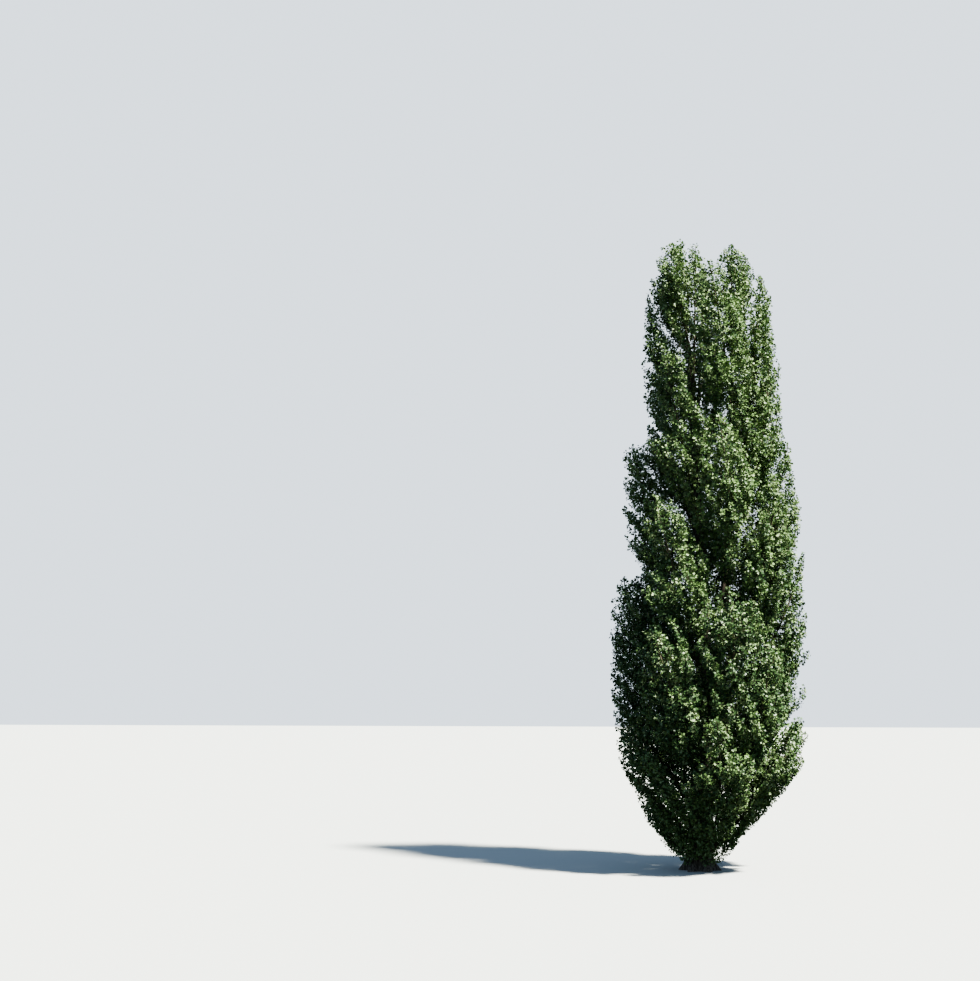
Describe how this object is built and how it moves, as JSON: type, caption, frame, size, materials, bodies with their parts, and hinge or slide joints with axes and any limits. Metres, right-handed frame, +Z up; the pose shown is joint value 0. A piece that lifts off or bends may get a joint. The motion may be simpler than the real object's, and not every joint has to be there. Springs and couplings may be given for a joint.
{
  "type": "lombardy poplar tree",
  "caption": "Tall, narrow poplar in full leaf: a buttressed trunk, a second leader, steep boughs and upright plumes of foliage.",
  "frame": {"origin": "middle of the trunk's flat foot, at ground level", "axes": "+Z up along the trunk, -Y towards the viewer of the picture, +X to the viewer's right"},
  "size_m": [6.3319, 6.2786, 19.9982],
  "materials": {
    "bark": "matte furrowed grey-brown bark",
    "foliage": "satin green leaves"
  },
  "bodies": {
    "root": {"bough_05": "bark", "bough_06": "bark", "bough_07": "bark", "bough_08": "bark", "bough_09": "bark", "bough_10": "bark", "bough_11": "bark", "bough_12": "bark", "bough_13": "bark", "bough_14": "bark", "bough_15": "bark", "bough_16": "bark", "bough_17": "bark", "bough_18": "bark", "bough_19": "bark", "bough_20": "bark", "bough_21": "bark", "bough_22": "bark", "bough_23": "bark", "bough_24": "bark", "bough_25": "bark", "foliage_01": "foliage", "foliage_02": "foliage", "foliage_03": "foliage", "foliage_04": "foliage", "foliage_05": "foliage", "foliage_06": "foliage", "foliage_07": "foliage", "foliage_08": "foliage", "foliage_09": "foliage", "foliage_10": "foliage", "foliage_11": "foliage", "foliage_12": "foliage", "foliage_13": "foliage", "foliage_14": "foliage", "foliage_15": "foliage", "foliage_16": "foliage", "foliage_17": "foliage", "foliage_18": "foliage", "foliage_19": "foliage", "foliage_20": "foliage", "foliage_21": "foliage", "foliage_22": "foliage", "foliage_23": "foliage", "foliage_24": "foliage", "foliage_25": "foliage", "foliage_26": "foliage", "foliage_27": "foliage", "foliage_28": "foliage", "foliage_29": "foliage", "foliage_30": "foliage", "foliage_31": "foliage", "foliage_top_back": "foliage", "foliage_top_left": "foliage", "foliage_top_middle": "foliage", "foliage_top_right": "foliage", "second_leader": "bark", "trunk": "bark"}
  },
  "joints": []
}
